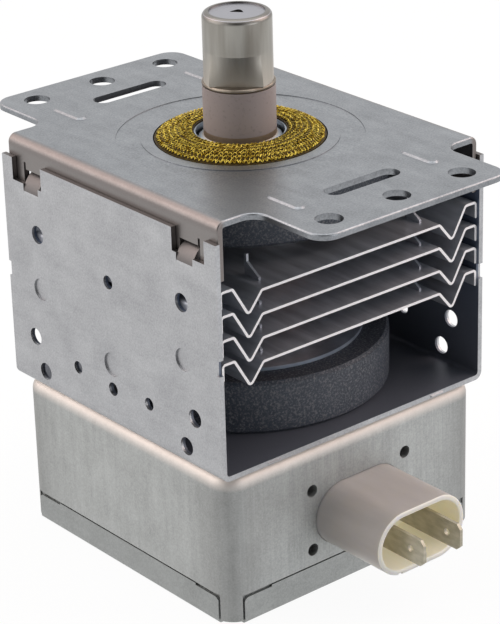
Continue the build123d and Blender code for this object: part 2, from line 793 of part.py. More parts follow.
# Cooling fins: one folded section, pulled through the yoke's depth, with lanced spacer lugs
fin_edge = yoke_inner - slide_gap
lip_x = fin_edge - fin_sheet / 2
fin_flat = lip_x - fold_inset
lance_x = fin_flat - lance_inset
fin_bore = anode_radius + fit_gap
for fin_index in range(fin_count):
    level = fin_first - fin_index * fin_pitch
    half_line = [
        (fin_flat, level), (lip_x - valley_inset, level - valley_drop),
        (lip_x - shoulder_inset, level + shoulder_rise), (lip_x, level + shoulder_rise),
        (lip_x, level + shoulder_rise - lip_drop),
    ]
    fin_line = [(-x, z) for x, z in reversed(half_line)] + half_line
    with BuildPart() as cooling_fin:
        with BuildSketch(Plane.XZ):
            with BuildLine():
                FilletPolyline(*fin_line, radius=fin_bend)
                offset(amount=fin_sheet / 2, kind=Kind.ARC)
            make_face()
        extrude(amount=fin_half_depth, both=True)
        with BuildSketch(Plane.XY.offset(level - fin_sheet / 2)):
            Circle(fin_bore + fin_sheet)
        extrude(amount=collar_height)
        with BuildSketch(Plane.XY.offset(level - fin_sheet / 2)):
            Circle(fin_bore)
        extrude(amount=collar_height, mode=Mode.SUBTRACT)
        lug_base = level + fin_sheet / 2
        for side in (-1, 1):
            for end in (-1, 1):
                with BuildSketch(Plane.YZ.offset(side * lance_x)):
                    with BuildLine():
                        Polyline(
                            (end * lance_back, level), (end * lance_back, lug_base + lance_height),
                            (end * (lance_back + lance_finger), lug_base + lance_height),
                            (end * (lance_back + lance_finger), lug_base + lance_slope),
                            (end * lance_front, lug_base + fin_sheet), (end * lance_front, level),
                            close=True,
                        )
                    make_face()
                extrude(amount=fin_sheet / 2, both=True)
    fin_name = f"cooling_fin_{fin_index + 1}"
    cooling_fin.part.label = fin_name
    export_step(cooling_fin.part, f"parts/{fin_name}.step")

# Filter box: a drawn steel box, open below. The flats of its lower edge are set in, so that the
# lid's flanges lie flush with its rounded corners.
lid_inset = lid_sheet + fit_gap
lid_top_face = lid_bottom + lid_sheet
step_z = lid_seam + seam_gap
seat_span = flange_span + 2 * seam_gap


def inset_band(width, corner, span):
    """A level outline of the box's lower edge: a rounded square with each flat set in."""
    with BuildSketch(Plane.XY.offset(lid_top_face)) as band:
        RectangleRounded(width, width, corner)
        with GridLocations(width, 1, 2, 1):
            Rectangle(2 * lid_inset, span, mode=Mode.SUBTRACT)
        with GridLocations(1, width, 1, 2):
            Rectangle(span, 2 * lid_inset, mode=Mode.SUBTRACT)
    return band.sketch


burr_points = [
    (connector_x + x * burr_x, connector_z + burr_rise + z * burr_z)
    for x in (-1, 1) for z in (-1, 1)
]
with BuildPart() as cavity:
    with BuildSketch(Plane.XY.offset(step_z + box_sheet)):
        inner_width = box_width - 2 * box_sheet
        RectangleRounded(inner_width, inner_width, box_corner - box_sheet)
    extrude(amount=box_top - step_z - 2 * box_sheet)
    fillet(cavity.faces().sort_by(Axis.Z)[-1].edges(), box_edge - box_sheet)
with BuildPart() as filter_box:
    add(inset_band(box_width, box_corner, seat_span))
    extrude(amount=step_z - lid_top_face)
    with BuildSketch(Plane.XY.offset(step_z)):
        RectangleRounded(box_width, box_width, box_corner)
    extrude(amount=box_top - step_z)
    fillet(filter_box.faces().sort_by(Axis.Z)[-1].edges(), box_edge)
    add(inset_band(inner_width, box_corner - box_sheet, seat_span + 2 * box_sheet))
    extrude(amount=step_z + box_sheet - lid_top_face, mode=Mode.SUBTRACT)
    add(cavity.part, mode=Mode.SUBTRACT)
    with BuildSketch(Plane.XY.offset(box_top)):
        Circle(neck_passage)
    extrude(amount=-box_sheet, mode=Mode.SUBTRACT)
    with BuildSketch(Plane.XZ.offset(box_half - box_sheet)):
        with Locations(*burr_points):
            Circle(burr_bore + burr_wall)
    extrude(amount=-burr_length)
    with BuildSketch(Plane.XZ.offset(box_half)):
        with Locations((connector_x, connector_z)):
            SlotOverall(shroud_width + 2 * slide_gap, shroud_height + 2 * slide_gap)
        with Locations(*burr_points):
            Circle(burr_bore)
    extrude(amount=-box_sheet - burr_length, mode=Mode.SUBTRACT)
filter_box.part.label = "filter_box"
export_step(filter_box.part, "parts/filter_box.step")

# Lid: a shallow tray, notched at its corners, whose four flanges close over the set-in flats
with BuildPart() as box_lid:
    with BuildSketch(Plane.XY.offset(lid_bottom)):
        Rectangle(flange_span, box_width)
        Rectangle(box_width, flange_span)
    extrude(amount=lid_seam - lid_bottom)
    side_edges = [
        edge for edge in box_lid.faces().sort_by(Axis.Z)[0].edges()
        if edge.length > flange_span - slide_gap
    ]
    fillet(side_edges, lid_bend)
    with BuildSketch(Plane.XY.offset(lid_top_face)):
        Rectangle(box_width - 2 * lid_sheet, box_width - 2 * lid_sheet)
    extrude(amount=lid_seam - lid_top_face, mode=Mode.SUBTRACT)
    step_width = (box_width - 2 * seam_step_at) / 2
    with BuildSketch(Plane.XY.offset(lid_seam)):
        with GridLocations(box_width - step_width, box_width - step_width, 2, 2):
            Rectangle(step_width, step_width)
    extrude(amount=-seam_step, mode=Mode.SUBTRACT)
    upper_corners = [
        edge for edge in box_lid.edges()
        if abs(edge.center().Z - lid_seam + seam_step) < fit_gap
        and min(abs(edge.center().X), abs(edge.center().Y)) > flange_span / 2 - fit_gap
    ]
    fillet(upper_corners, flange_corner)
box_lid.part.label = "box_lid"
export_step(box_lid.part, "parts/box_lid.step")

# Connector shroud: a moulded oval sleeve, trapped by its collar behind the box wall
collar_front = box_half - box_sheet
collar_back = collar_front - shroud_collar
with BuildPart() as connector_shroud:
    with BuildSketch(Plane.XZ.offset(collar_back)):
        with Locations((connector_x, connector_z)):
            SlotOverall(shroud_width + 2 * collar_lap, shroud_height + 2 * collar_lap)
    extrude(amount=shroud_collar)
    with BuildSketch(Plane.XZ.offset(collar_front)):
        with Locations((connector_x, connector_z)):
            SlotOverall(shroud_width, shroud_height)
    extrude(amount=shroud_reach - collar_front)
    with BuildSketch(Plane.XZ.offset(shroud_floor)):
        with Locations((connector_x, connector_z)):
            SlotOverall(shroud_width - 2 * shroud_wall, shroud_height - 2 * shroud_wall)
    extrude(amount=shroud_reach - shroud_floor, mode=Mode.SUBTRACT)
    rim_edges = connector_shroud.faces().sort_by(Axis.Y)[0].edges()
    fillet(rim_edges, rim_round)
    with BuildSketch(Plane.XZ.offset(collar_front)):
        with Locations((connector_x + key_x, connector_z - shroud_height / 2)):
            Rectangle(key_width, 2 * key_depth)
    extrude(amount=shroud_reach - collar_front, mode=Mode.SUBTRACT)
    with BuildSketch(Plane.XZ.offset(collar_back)):
        with Locations((left_blade_x, connector_z), (right_blade_x, connector_z)):
            Rectangle(blade_sheet + 2 * fit_gap, blade_width + 2 * fit_gap)
    extrude(amount=shroud_floor - collar_back, mode=Mode.SUBTRACT)
connector_shroud.part.label = "connector_shroud"
export_step(connector_shroud.part, "parts/connector_shroud.step")

# Terminal blades: flat tin-plated tabs that run from the chokes out through the shroud
blade_length = blade_tip - blade_inner_end
for blade_name, x in (("left_blade", left_blade_x), ("right_blade", right_blade_x)):
    with BuildPart() as blade:
        with BuildSketch(Plane.YZ.offset(x)) as blade_outline:
            with Locations(((-blade_tip - blade_inner_end) / 2, connector_z)):
                Rectangle(blade_length, blade_width)
            chamfer(blade_outline.vertices().group_by(Axis.X)[0], blade_chamfer)
            with Locations((-blade_tip + blade_hole_inset, connector_z)):
                Circle(blade_hole, mode=Mode.SUBTRACT)
        extrude(amount=blade_sheet / 2, both=True)
    blade.part.label = blade_name
    export_step(blade.part, f"parts/{blade_name}.step")

# Feed-through capacitor: an oval body in a steel plate that sits on the burrs of the box wall
plate_back = collar_back - capacitor_plate
with BuildPart() as capacitor_body:
    with BuildSketch(Plane.XZ.offset(collar_back - capacitor_depth)):
        with Locations((connector_x, connector_z)):
            SlotOverall(capacitor_width, capacitor_height)
        with Locations((left_blade_x, connector_z), (right_blade_x, connector_z)):
            Rectangle(blade_sheet + 2 * fit_gap, blade_width + 2 * fit_gap, mode=Mode.SUBTRACT)
    extrude(amount=capacitor_depth)
capacitor_body.part.label = "capacitor_body"
export_step(capacitor_body.part, "parts/capacitor_body.step")

with BuildPart() as capacitor_mount:
    with BuildSketch(Plane.XZ.offset(plate_back)):
        with Locations((connector_x, connector_z)):
            RectangleRounded(capacitor_plate_width, capacitor_plate_height, burr_bore)
            SlotOverall(
                capacitor_width + 2 * fit_gap, capacitor_height + 2 * fit_gap, mode=Mode.SUBTRACT
            )
        with Locations(*burr_points):
            Circle(burr_bore + burr_wall + fit_gap, mode=Mode.SUBTRACT)
    extrude(amount=capacitor_plate)
capacitor_mount.part.label = "capacitor_mount"
export_step(capacitor_mount.part, "parts/capacitor_mount.step")

def wire_run(points):
    """A stretch of bare choke wire along straight runs that tangent arcs join."""
    with BuildPart() as run:
        with BuildLine() as run_path:
            FilletPolyline(*points, radius=choke_lead_bend)
        with BuildSketch(Plane(origin=run_path.line @ 0, z_dir=run_path.line % 0)):
            Rectangle(bare_wire, bare_wire)
        sweep(path=run_path.line)
    return run.part


# Chokes: a winding of thick wire on a ferrite rod, from each blade's end to one stem strip
choke_length = choke_pitch * choke_turns
choke_z = connector_z - choke_radius
choke_back = choke_front + choke_length
core_radius = choke_radius - choke_wire / 2 - core_gap
blade_side = blade_x + (blade_sheet + bare_wire) / 2 + fit_gap
strip_underside = stem_bottom - strip_sheet - bare_wire * sqrt(0.5) - fit_gap
lead_inset = bare_wire + lead_radius
lead_lap = choke_wire / 2
for side_name, side, strip_end in (("left", -1, strips["centre_strip"][1]),
                                   ("right", 1, strips["side_strip"][2])):
    front_lead = wire_run([
        (connector_x + side * blade_side, -blade_inner_end - blade_width / 2, connector_z),
        (connector_x + side * blade_side, choke_front, connector_z),
        (side * (choke_x + lead_lap), choke_front, connector_z),
    ])
    rear_x = side * (choke_x - choke_radius)
    rear_lead = wire_run([
        (rear_x, choke_back, choke_z - lead_lap), (rear_x, choke_back, strip_underside),
        (strip_end - side * lead_inset, 0, strip_underside),
    ])
    with BuildPart() as choke:
        with BuildLine() as winding:
            Helix(
                choke_pitch, choke_length, choke_radius, center=(side * choke_x, choke_front, choke_z),
                direction=(0, 1, 0), lefthand=side < 0,
            )
        with BuildSketch(Plane(winding.line @ 0, x_dir=(0, 0, 1), z_dir=winding.line % 0)):
            Rectangle(choke_wire, choke_wire)
        sweep(path=winding.line, is_frenet=True)
        add(front_lead)
        add(rear_lead)
    choke_name = f"{side_name}_choke"
    choke.part.label = choke_name
    export_step(choke.part, f"parts/{choke_name}.step")
    with BuildPart() as core:
        with BuildSketch(Plane.XZ.offset(core_overhang - choke_front)):
            with Locations((side * choke_x, choke_z)):
                Circle(core_radius)
        extrude(amount=-choke_length - 2 * core_overhang)
    core_name = f"{side_name}_choke_core"
    core.part.label = core_name
    export_step(core.part, f"parts/{core_name}.step")
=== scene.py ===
# %% [markdown]
# A magnetron is mostly sheet metal: zinc-plated steel round two ferrite magnets, with aluminium
# fins on a copper tube. Its exact parts come ready made as a fixed frame, which is loaded first.
# Everything below then dresses that frame: a finish for each part, and the gasket's knitted wire,
# whose fine shape is easier to make here.

# %% Load the frame
from math import cos, pi, radians, sin
from random import Random
import bmesh
import bpy
from mathutils import Matrix, Vector


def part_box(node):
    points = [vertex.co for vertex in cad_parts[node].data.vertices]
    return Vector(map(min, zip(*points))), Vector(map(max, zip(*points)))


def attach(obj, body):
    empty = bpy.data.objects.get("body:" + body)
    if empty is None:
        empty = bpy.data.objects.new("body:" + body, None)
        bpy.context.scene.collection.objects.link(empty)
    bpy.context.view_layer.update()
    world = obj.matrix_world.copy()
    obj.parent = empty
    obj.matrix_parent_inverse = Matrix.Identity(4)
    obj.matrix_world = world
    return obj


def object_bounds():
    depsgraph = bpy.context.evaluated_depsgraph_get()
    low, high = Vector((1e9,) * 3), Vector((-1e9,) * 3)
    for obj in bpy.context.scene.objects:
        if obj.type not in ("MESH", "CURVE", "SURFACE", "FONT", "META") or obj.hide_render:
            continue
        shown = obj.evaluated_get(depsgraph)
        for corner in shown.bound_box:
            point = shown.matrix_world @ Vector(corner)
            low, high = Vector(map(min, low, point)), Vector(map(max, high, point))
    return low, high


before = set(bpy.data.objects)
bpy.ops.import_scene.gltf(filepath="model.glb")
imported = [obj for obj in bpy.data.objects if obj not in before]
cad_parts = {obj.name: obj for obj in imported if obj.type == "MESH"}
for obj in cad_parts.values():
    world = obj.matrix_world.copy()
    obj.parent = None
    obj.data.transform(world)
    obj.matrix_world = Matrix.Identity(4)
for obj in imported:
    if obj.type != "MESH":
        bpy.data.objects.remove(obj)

MM = 0.001
cad_low, cad_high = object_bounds()
print("frame:", len(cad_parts), "parts,", [round(v / MM, 1) for v in cad_high - cad_low], "mm")

# %% [markdown]
# Every finish below is a small tree of nodes. One helper adds a node, gives it its settings and
# fills or links its inputs, so that each material reads as a list of what it is made of. Inputs go
# by name, or by number where names repeat: a Mix node takes its share at 0 and its two colours at 6
# and 7, and gives the mixed colour at output 2. Colours are written as the hex values that a
# picture shows, and one function turns them to linear light.

# %% Helpers for materials
def add_node(tree, kind, inputs, output=0, **settings):
    """Adds one node, sets or links its inputs by name or number, and gives one of its outputs."""
    made = tree.nodes.new(kind)
    for name, value in settings.items():
        setattr(made, name, value)
    for place, value in inputs.items():
        if isinstance(value, bpy.types.NodeSocket):
            tree.links.new(value, made.inputs[place])
        else:
            made.inputs[place].default_value = value
    return made.outputs[output]


def share_of_all(tree, shares):
    """Several shares multiplied: 1 only where each of them is 1, and 0 where any is 0."""
    product = shares[0]
    for share in shares[1:]:
        product = add_node(tree, "ShaderNodeMath", {0: product, 1: share}, operation="MULTIPLY")
    return product


def linear(hex_colour):
    """An sRGB hex colour, such as "B4BABD", as linear red, green, blue and alpha."""
    shares = [int(hex_colour[i:i + 2], 16) / 255 for i in (0, 2, 4)]
    return [s / 12.92 if s <= 0.04045 else ((s + 0.055) / 1.055) ** 2.4 for s in shares] + [1.0]


def cycles(size_mm):
    """The texture scale whose features are about size_mm wide, as coordinates are in metres."""
    return 1 / (size_mm * MM)


def new_material(name, **shader_values):
    """A material with one Principled shader, its node tree, and the point on the object."""
    material = bpy.data.materials.new(name)
    material.use_nodes = True
    tree = material.node_tree
    shader = tree.nodes["Principled BSDF"]
    for socket_name, value in shader_values.items():
        shader.inputs[socket_name.replace("_", " ")].default_value = value
    place = add_node(tree, "ShaderNodeTexCoord", {}, "Object")
    return material, tree, shader, place


print("helpers ready; a 1 mm pattern has scale", cycles(1))

# %% [markdown]
# Galvanised sheet steel is a thin zinc coat on rolled steel. To the eye it is a dull, bright grey
# with faint clouds a few millimetres wide, a fine sandy grain, and soft streaks along the way that
# the sheet was rolled or drawn. The real grain is finer than a pixel, so it is drawn a little
# coarser. Noise seldom strays far from its middle, so the part of it between the dullest and the
# brightest zinc is stretched. Bright spots are also a little smoother. One recipe makes all the
# sheet parts, and a region function can repaint part of a sheet.

# %% Sheet steel
CLOUD_MM = 9.0
GRAIN_MM = 0.42
GRAIN_DEPTH_MM = 0.02
DULLEST, BRIGHTEST = 0.36, 0.64
SHEET_POLISH = 0.05


def zinc_sheet(name, pale, dark, streak_mm, shares, roughness, region=None):
    """Galvanised sheet; shares says how much clouds, grain and streaks each count."""
    material, tree, shader, place = new_material(name, Metallic=1.0)
    squeezed = add_node(tree, "ShaderNodeMapping", {
        "Vector": place, "Scale": [cycles(size) for size in streak_mm],
    })
    patterns = [
        add_node(tree, "ShaderNodeTexNoise", {
            "Vector": source, "Scale": scale, "Detail": detail, "Roughness": 0.65,
        })
        for source, scale, detail in (
            (place, cycles(CLOUD_MM), 4.0), (place, cycles(GRAIN_MM), 3.0), (squeezed, 1.0, 3.0),
        )
    ]
    tone = 0.0
    for pattern, share in zip(patterns, shares):
        tone = add_node(tree, "ShaderNodeMath", {0: pattern, 1: share, 2: tone},
                        operation="MULTIPLY_ADD")
    level = add_node(tree, "ShaderNodeMapRange", {
        "Value": tone, "From Min": DULLEST, "From Max": BRIGHTEST,
    })
    colour = add_node(tree, "ShaderNodeMix", {0: level, 6: linear(dark), 7: linear(pale)}, 2,
                      data_type="RGBA")
    if region:
        colour = region(tree, place, colour, shader)
    tree.links.new(colour, shader.inputs["Base Color"])
    rough = add_node(tree, "ShaderNodeMapRange", {
        "Value": level, "To Min": roughness + SHEET_POLISH, "To Max": roughness - SHEET_POLISH,
    })
    tree.links.new(rough, shader.inputs["Roughness"])
    bumps = add_node(tree, "ShaderNodeBump", {
        "Height": patterns[1], "Distance": GRAIN_DEPTH_MM * MM, "Strength": 0.3,
    })
    tree.links.new(bumps, shader.inputs["Normal"])
    return material


print("grain", GRAIN_MM, "mm, clouds", CLOUD_MM, "mm")

# %% [markdown]
# Where the mounting plate's left and right sides bend down, the bends get a painted warm reflection
# in a darker grey, and the flanges are a darker brownish grey, while the flanges' cut ends, front
# and back, stay plain. How far a point lies across, down and along tells where it is.

# %% Mounting plate
ROLLED_MM = (3.0, 12.0, 3.0)
ROLLED_SHARES = (0.3, 0.5, 0.2)
BEND_START_MM, BEND_FULL_MM, BEND_SHARE = 35.2, 36.2, 0.75
FLANGE_START_MM, FLANGE_FULL_MM, FLANGE_SHARE = -1.5, -3.0, 0.8
FLANGE_END_MM = 37.15


def bend_reflection_and_flanges(tree, place, colour, shader):
    """The plate's colour, with a painted warm reflection on the bends and darker brownish flanges.
    """
    x, y, z = add_node(tree, "ShaderNodeSeparateXYZ", {0: place}).node.outputs
    across = add_node(tree, "ShaderNodeMath", {0: x}, operation="ABSOLUTE")
    along = add_node(tree, "ShaderNodeMath", {0: y}, operation="ABSOLUTE")
    in_bend = add_node(tree, "ShaderNodeMapRange", {
        "Value": across, "From Min": BEND_START_MM * MM, "From Max": BEND_FULL_MM * MM,
        "To Max": BEND_SHARE,
    })
    in_flange = add_node(tree, "ShaderNodeMapRange", {
        "Value": z, "From Min": FLANGE_START_MM * MM, "From Max": FLANGE_FULL_MM * MM,
        "To Max": FLANGE_SHARE,
    })
    uncut = add_node(tree, "ShaderNodeMath", {0: along, 1: FLANGE_END_MM * MM},
                     operation="LESS_THAN")
    brownish = share_of_all(tree, (in_bend, in_flange, uncut))
    # Painted warm reflection on the bends; the flanges below are a darker brownish grey.
    colour = add_node(tree, "ShaderNodeMix", {0: in_bend, 6: colour, 7: linear("766C67")}, 2,
                      data_type="RGBA")
    return add_node(tree, "ShaderNodeMix", {0: brownish, 6: colour, 7: linear("8A8785")}, 2,
                    data_type="RGBA")


plate_zinc = zinc_sheet("galvanised plate", "989B9F", "74777B", ROLLED_MM, ROLLED_SHARES, 0.36,
                        bend_reflection_and_flanges)
print("plate finished in", plate_zinc.name, "with bends from", BEND_START_MM, "mm outwards")

# %% [markdown]
# Inside the yoke the zinc looks nearly black, with a blue tinge, because it mirrors the dark tunnel
# round the fins. A bright sheet in soft studio light would not show that, so the inner side gets a
# painted dark reflection: points that lie deeper than half the sheet, below the locking tabs, on
# walls and floor. This painted reflection is greyer at the floor than on the walls. The tabs get a
# darker painted shade. They are found as what lies a hair inside the walls' outer faces, above the
# line where the tabs start. A skin at the front and back keeps both shades off the cut ends.

# %% Yoke
TAB_ROOT_MM = -12.5
HALF_SHEET_MM = 0.6
CUT_SKIN_MM = 0.02
OUTER_SKIN_MM = 0.05
FLOOR_SHADE_MM = 2.0
INNER_METALLIC = 0.3
yoke_low, yoke_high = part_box("yoke_frame")


def painted_dark_inside(tree, place, colour, shader):
    """The yoke's colour, with painted shade on the tabs and a painted dark reflection inside its
    walls and floor.
    """
    x, y, z = add_node(tree, "ShaderNodeSeparateXYZ", {0: place}).node.outputs
    across = add_node(tree, "ShaderNodeMath", {0: x}, operation="ABSOLUTE")
    along = add_node(tree, "ShaderNodeMath", {0: y}, operation="ABSOLUTE")
    uncut, bent_in, inside, below_root = [
        add_node(tree, "ShaderNodeMath", {0: measure, 1: limit}, operation="LESS_THAN")
        for measure, limit in (
            (along, yoke_high.y - CUT_SKIN_MM * MM), (across, yoke_high.x - OUTER_SKIN_MM * MM),
            (across, yoke_high.x - HALF_SHEET_MM * MM), (z, TAB_ROOT_MM * MM),
        )
    ]
    above_root, above_floor = [
        add_node(tree, "ShaderNodeMath", {0: z, 1: limit}, operation="GREATER_THAN")
        for limit in (TAB_ROOT_MM * MM, yoke_low.z + HALF_SHEET_MM * MM)
    ]
    shaded_tab = share_of_all(tree, (bent_in, above_root, uncut))
    # Painted shade on the tabs.
    colour = add_node(tree, "ShaderNodeMix", {0: shaded_tab, 6: colour, 7: linear("6A6665")}, 2,
                      data_type="RGBA")
    depth = add_node(tree, "ShaderNodeMapRange", {
        "Value": z, "From Min": yoke_low.z + FLOOR_SHADE_MM * MM, "From Max": TAB_ROOT_MM * MM,
    })
    # Painted dark reflection inside the walls and floor, greyer low and bluer high.
    painted_reflection = add_node(tree, "ShaderNodeMix", {0: depth, 6: linear("5E626C"), 7: linear("5F6C82")}, 2,
                    data_type="RGBA")
    in_reflection = share_of_all(tree, (inside, uncut, above_floor, below_root))
    metallic = add_node(tree, "ShaderNodeMapRange", {
        "Value": in_reflection, "To Min": 1.0, "To Max": INNER_METALLIC,
    })
    tree.links.new(metallic, shader.inputs["Metallic"])
    return add_node(tree, "ShaderNodeMix", {0: in_reflection, 6: colour, 7: painted_reflection}, 2, data_type="RGBA")


yoke_zinc = zinc_sheet("galvanised yoke", "B8B9BB", "9A9B9E", ROLLED_MM, ROLLED_SHARES, 0.46,
                       painted_dark_inside)
print("yoke finished in", yoke_zinc.name, "with a dark side below", TAB_ROOT_MM, "mm")

# %% [markdown]
# The filter box is drawn deep from one sheet, which leaves soft upright streaks on its front and
# back, while its left and right faces keep the plain grain. The streaks are noise that is squeezed
# across and stretched upwards, and they only count near the front and back faces. The shoulder round
# the top gets a painted highlight with a warm tinge, and the upright corners a painted shade. The
# lid is a plain sheet of the same steel.

# %% Filter box and lid
STREAK_MM = (0.5, 8.0, 30.0)
STREAK_DEPTH_MM = 2.5
CORNER_MM = 14.0
SHOULDER_MM, SHOULDER_HIGHLIGHT_MM = 4.0, 1.5
box_low, box_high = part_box("filter_box")


def streaks_and_painted_light(tree, place, colour, shader):
    """The box's colour, with upright streaks, painted shade in the corners and a painted highlight
    on the shoulder.
    """
    x, y, z = add_node(tree, "ShaderNodeSeparateXYZ", {0: place}).node.outputs
    across = add_node(tree, "ShaderNodeMath", {0: x}, operation="ABSOLUTE")
    along = add_node(tree, "ShaderNodeMath", {0: y}, operation="ABSOLUTE")
    near_face = add_node(tree, "ShaderNodeMapRange", {
        "Value": along, "From Min": box_high.y - STREAK_DEPTH_MM * MM, "From Max": box_high.y,
    })
    squeezed = add_node(tree, "ShaderNodeMapping", {
        "Vector": place, "Scale": [cycles(size) for size in STREAK_MM],
    })
    lines = add_node(tree, "ShaderNodeTexNoise", {"Vector": squeezed, "Scale": 1.0, "Detail": 4.0})
    level = add_node(tree, "ShaderNodeMapRange", {
        "Value": lines, "From Min": 0.45, "From Max": 0.7, "To Max": 0.4,
    })
    streaked = share_of_all(tree, (near_face, level))
    to_corner = add_node(tree, "ShaderNodeMath", {0: across, 1: along}, operation="MINIMUM")
    # Painted shade in the upright corners.
    corner_shade = add_node(tree, "ShaderNodeMapRange", {
        "Value": to_corner, "From Min": box_high.y - CORNER_MM * MM, "From Max": box_high.y,
        "To Max": 0.5,
    })
    # Painted warm highlight on the shoulder round the top.
    shoulder_highlight = add_node(tree, "ShaderNodeMapRange", {
        "Value": z, "From Min": box_high.z - SHOULDER_MM * MM,
        "From Max": box_high.z - SHOULDER_HIGHLIGHT_MM * MM,
    })
    for share, shade in ((streaked, "969897"), (corner_shade, "727271"), (shoulder_highlight, "CEC6C0")):
        colour = add_node(tree, "ShaderNodeMix", {0: share, 6: colour, 7: linear(shade)}, 2,
                          data_type="RGBA")
    return colour


box_zinc = zinc_sheet("drawn galvanised steel", "B4B6B5", "9C9E9D", (2.0, 2.0, 20.0),
                      (0.3, 0.45, 0.25), 0.6, streaks_and_painted_light)
lid_zinc = zinc_sheet("galvanised lid", "A1A3A2", "8B8D8C", (6.0, 6.0, 1.5), ROLLED_SHARES, 0.46)
print("box", [round(v / MM, 1) for v in box_high - box_low], "mm")

# %% [markdown]
# Ferrite magnets are pressed from black powder and fired like a ceramic, so they are matt charcoal,
# clouded by smudges, with faint grey specks where grains catch the light.

# %% Ferrite
SPECK_MM, SPECK_DEPTH_MM, SMUDGE_MM = 0.5, 0.05, 6.0
ferrite, tree, shader, place = new_material("pressed ferrite", Roughness=0.62)
specks = add_node(tree, "ShaderNodeTexNoise", {
    "Vector": place, "Scale": cycles(SPECK_MM), "Detail": 3.0, "Roughness": 0.7,
})
smudges = add_node(tree, "ShaderNodeTexNoise", {
    "Vector": place, "Scale": cycles(SMUDGE_MM), "Detail": 2.0,
})
body = add_node(tree, "ShaderNodeMix", {0: smudges, 6: linear("2C323C"), 7: linear("3A414C")}, 2,
                data_type="RGBA")
speck_share = add_node(tree, "ShaderNodeMapRange", {
    "Value": specks, "From Min": 0.48, "From Max": 0.66, "To Max": 0.8,
})
speckled = add_node(tree, "ShaderNodeMix", {0: speck_share, 6: body, 7: linear("7C7C80")}, 2,
                    data_type="RGBA")
tree.links.new(speckled, shader.inputs["Base Color"])
bumps = add_node(tree, "ShaderNodeBump", {
    "Height": specks, "Distance": SPECK_DEPTH_MM * MM, "Strength": 0.5,
})
tree.links.new(bumps, shader.inputs["Normal"])
print("ferrite specks about", SPECK_MM, "mm")

# %% [markdown]
# The fins are rolled aluminium. Their faces are dull, with faint marks of the rollers, and the cut
# edges at the front and back are bright where the press sheared them. The edge is found from how
# far a point lies from the middle along the way that the air blows.

# %% Fins
CUT_EDGE_MM = 0.06
ROLLER_MM = (2.5, 18.0, 2.5)
fin_metal, tree, shader, place = new_material("rolled aluminium", Metallic=0.45)
along = add_node(tree, "ShaderNodeSeparateXYZ", {0: place}, "Y")
from_middle = add_node(tree, "ShaderNodeMath", {0: along}, operation="ABSOLUTE")
cut_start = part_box("cooling_fin_1")[1].y - CUT_EDGE_MM * MM
at_cut = add_node(tree, "ShaderNodeMath", {0: from_middle, 1: cut_start}, operation="GREATER_THAN")
squeezed = add_node(tree, "ShaderNodeMapping", {
    "Vector": place, "Scale": [cycles(size) for size in ROLLER_MM],
})
rolling = add_node(tree, "ShaderNodeTexNoise", {"Vector": squeezed, "Scale": 1.0, "Detail": 3.0})
level = add_node(tree, "ShaderNodeMapRange", {"Value": rolling, "From Min": 0.35, "From Max": 0.65})
face = add_node(tree, "ShaderNodeMix", {0: level, 6: linear("A4A8B0"), 7: linear("C4C8D0")}, 2,
                data_type="RGBA")
colour = add_node(tree, "ShaderNodeMix", {0: at_cut, 6: face, 7: linear("F4F2F2")}, 2,
                  data_type="RGBA")
tree.links.new(colour, shader.inputs["Base Color"])
rough = add_node(tree, "ShaderNodeMapRange", {"Value": at_cut, "To Min": 0.3, "To Max": 0.55})
tree.links.new(rough, shader.inputs["Roughness"])
print("cut edges shine from y =", round(cut_start / MM, 2), "mm outwards")

# %% [markdown]
# The other metals are drawn, pressed or plated. Each shows faint lines or clouds along the way it
# was worked. One recipe serves them all: two close shades, mixed by noise that is stretched to a
# real size along X, Y and Z, with the paler shade a little smoother.

# %% Drawn and plated metals
LINE_POLISH = 0.06


def worked_metal(name, pale, dark, line_mm, roughness, metallic=1.0):
    """A metal whose two shades are mixed by noise as large as line_mm along X, Y and Z."""
    material, tree, shader, place = new_material(name, Metallic=metallic)
    squeezed = add_node(tree, "ShaderNodeMapping", {
        "Vector": place, "Scale": [cycles(size) for size in line_mm],
    })
    lines = add_node(tree, "ShaderNodeTexNoise", {"Vector": squeezed, "Scale": 1.0, "Detail": 3.0})
    level = add_node(tree, "ShaderNodeMapRange", {
        "Value": lines, "From Min": 0.34, "From Max": 0.66,
    })
    colour = add_node(tree, "ShaderNodeMix", {0: level, 6: linear(dark), 7: linear(pale)}, 2,
                      data_type="RGBA")
    tree.links.new(colour, shader.inputs["Base Color"])
    rough = add_node(tree, "ShaderNodeMapRange", {
        "Value": lines, "To Min": roughness + LINE_POLISH, "To Max": roughness - LINE_POLISH,
    })
    tree.links.new(rough, shader.inputs["Roughness"])
    return material


tinned_metal = worked_metal("tinned brass", "C2BDAD", "ACA795", (6.0, 3.0, 1.2), 0.5, 0.5)
seat_metal = worked_metal("pressed steel", "B4BECC", "98A2B0", (5.0, 5.0, 5.0), 0.45, 0.7)
holder_metal = worked_metal("tin plated steel", "A7AEB6", "8A929B", (3.0, 3.0, 1.0), 0.35)
input_metal = worked_metal("copper plated iron", "8C7566", "6C5A50", (3.0, 3.0, 3.0), 0.45)
rim_metal = worked_metal("bronzed steel", "8E857A", "6E655B", (3.0, 3.0, 1.0), 0.42)
pole_metal = worked_metal("soft iron", "8A8A8A", "707070", (4.0, 4.0, 4.0), 0.4)
filament_metal = worked_metal("carburised tungsten", "5C5C5E", "464648", (1.0, 1.0, 1.0), 0.5)
copper = worked_metal("oxygen-free copper", "B48C78", "96705E", (4.0, 4.0, 9.0), 0.45)
choke_wire = worked_metal("enamelled copper wire", "A65A32", "864421", (2.0, 2.0, 2.0), 0.35)
print("drawn and plated metals made")
